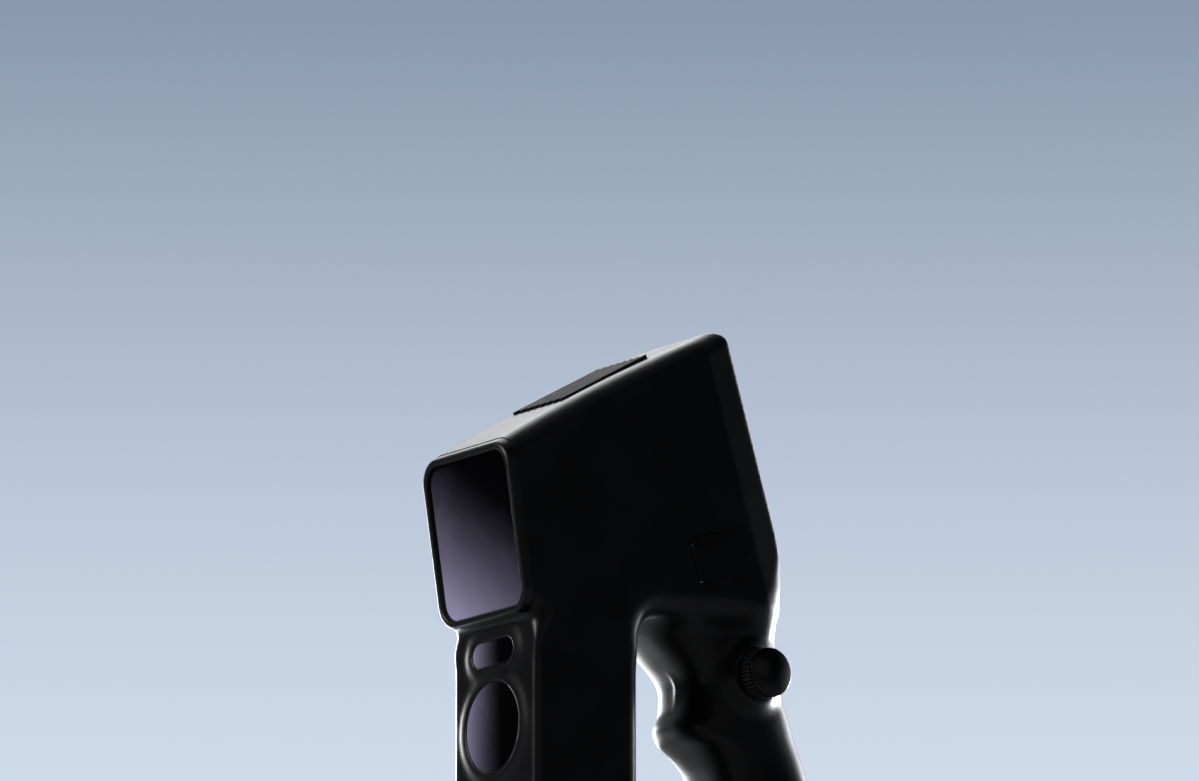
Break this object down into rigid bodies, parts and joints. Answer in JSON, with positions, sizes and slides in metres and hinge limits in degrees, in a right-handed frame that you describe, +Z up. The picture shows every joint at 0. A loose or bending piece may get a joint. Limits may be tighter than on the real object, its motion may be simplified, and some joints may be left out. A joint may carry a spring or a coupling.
{
  "type": "handheld 3d scanner",
  "caption": "Black handheld 3-D scanner with a wedge head, violet glass windows on a column, a raked D-loop grip and a knurled thumb dial",
  "frame": {"origin": "mouth of the tripod socket in the base, on the symmetry plane", "axes": "+Z up, -Y the way the windows face, +X the side with the thumb dial"},
  "size_m": [0.057, 0.1578, 0.2214],
  "materials": {
    "soft_black": "soft-touch moulded plastic with a fine grain",
    "black_plastic": "satin moulded plastic",
    "grille_grey": "satin moulded plastic",
    "cover_black": "smooth satin plastic",
    "dial_black": "satin plastic, knurled skirt",
    "pad_rubber": "matte rubber",
    "window_glass": "violet anti-reflection coated glass",
    "lens_glass": "coated lens",
    "display_glass": "black cover glass",
    "module_black": "matte black module",
    "board_green": "solder resist",
    "led_yellow": "phosphor",
    "reflector": "bright reflector",
    "aluminium": "milled",
    "steel": "turned",
    "bush_brass": "turned",
    "battery_blue": "shrink sleeve"
  },
  "bodies": {
    "housing": {"main_housing": "soft_black", "rear_housing": "soft_black", "base_cover": "black_plastic", "base_pad": "pad_rubber", "base_screws": "steel", "tripod_bush": "bush_brass", "window_frame": "black_plastic", "projector_glass": "window_glass", "projector_module": "module_black", "projector_lens": "lens_glass", "camera_glass": "window_glass", "camera_module": "module_black", "camera_lenses": "lens_glass", "flash_glass": "window_glass", "flash_reflector": "reflector", "flash_board": "board_green", "flash_leds": "led_yellow", "flash_camera": "module_black", "foot_frame": "black_plastic", "foot_glass": "window_glass", "foot_camera": "module_black", "foot_lens": "lens_glass", "optical_bench": "aluminium", "main_board": "board_green", "heat_sink": "aluminium", "vent_grille": "grille_grey", "fan_frame": "module_black", "display_glass": "display_glass", "display_panel": "module_black", "port_block": "module_black", "hinge_pin": "steel", "dial_bushing": "black_plastic", "encoder": "module_black", "battery_pack": "battery_blue"},
    "port_cover": {"port_cover": "cover_black"},
    "dial_shaft": {"dial_shaft": "steel"},
    "dial_knob": {"dial_knob": "dial_black", "dial_cap": "dial_black"},
    "fan_rotor": {"fan_rotor": "module_black"}
  },
  "joints": [
    {"name": "port_cover_hinge", "type": "hinge", "parent": "housing", "child": "port_cover", "pos_m": [0.0248, 0.00207, 0.13876], "axis": [0, 0.2924, -0.9563], "range_deg": [0, 95]},
    {"name": "dial_push", "type": "slide", "parent": "housing", "child": "dial_shaft", "axis": [-1, 0, 0], "range_m": [0, 0.0008], "stiffness_N_per_m": 900},
    {"name": "dial_turn", "type": "hinge", "parent": "dial_shaft", "child": "dial_knob", "pos_m": [0, 0.02984, 0.104], "axis": [1, 0, 0], "continuous": true},
    {"name": "fan_spin", "type": "hinge", "parent": "housing", "child": "fan_rotor", "pos_m": [0, -0.02831, 0.2008], "axis": [0, -0.4863, 0.8738], "continuous": true}
  ]
}
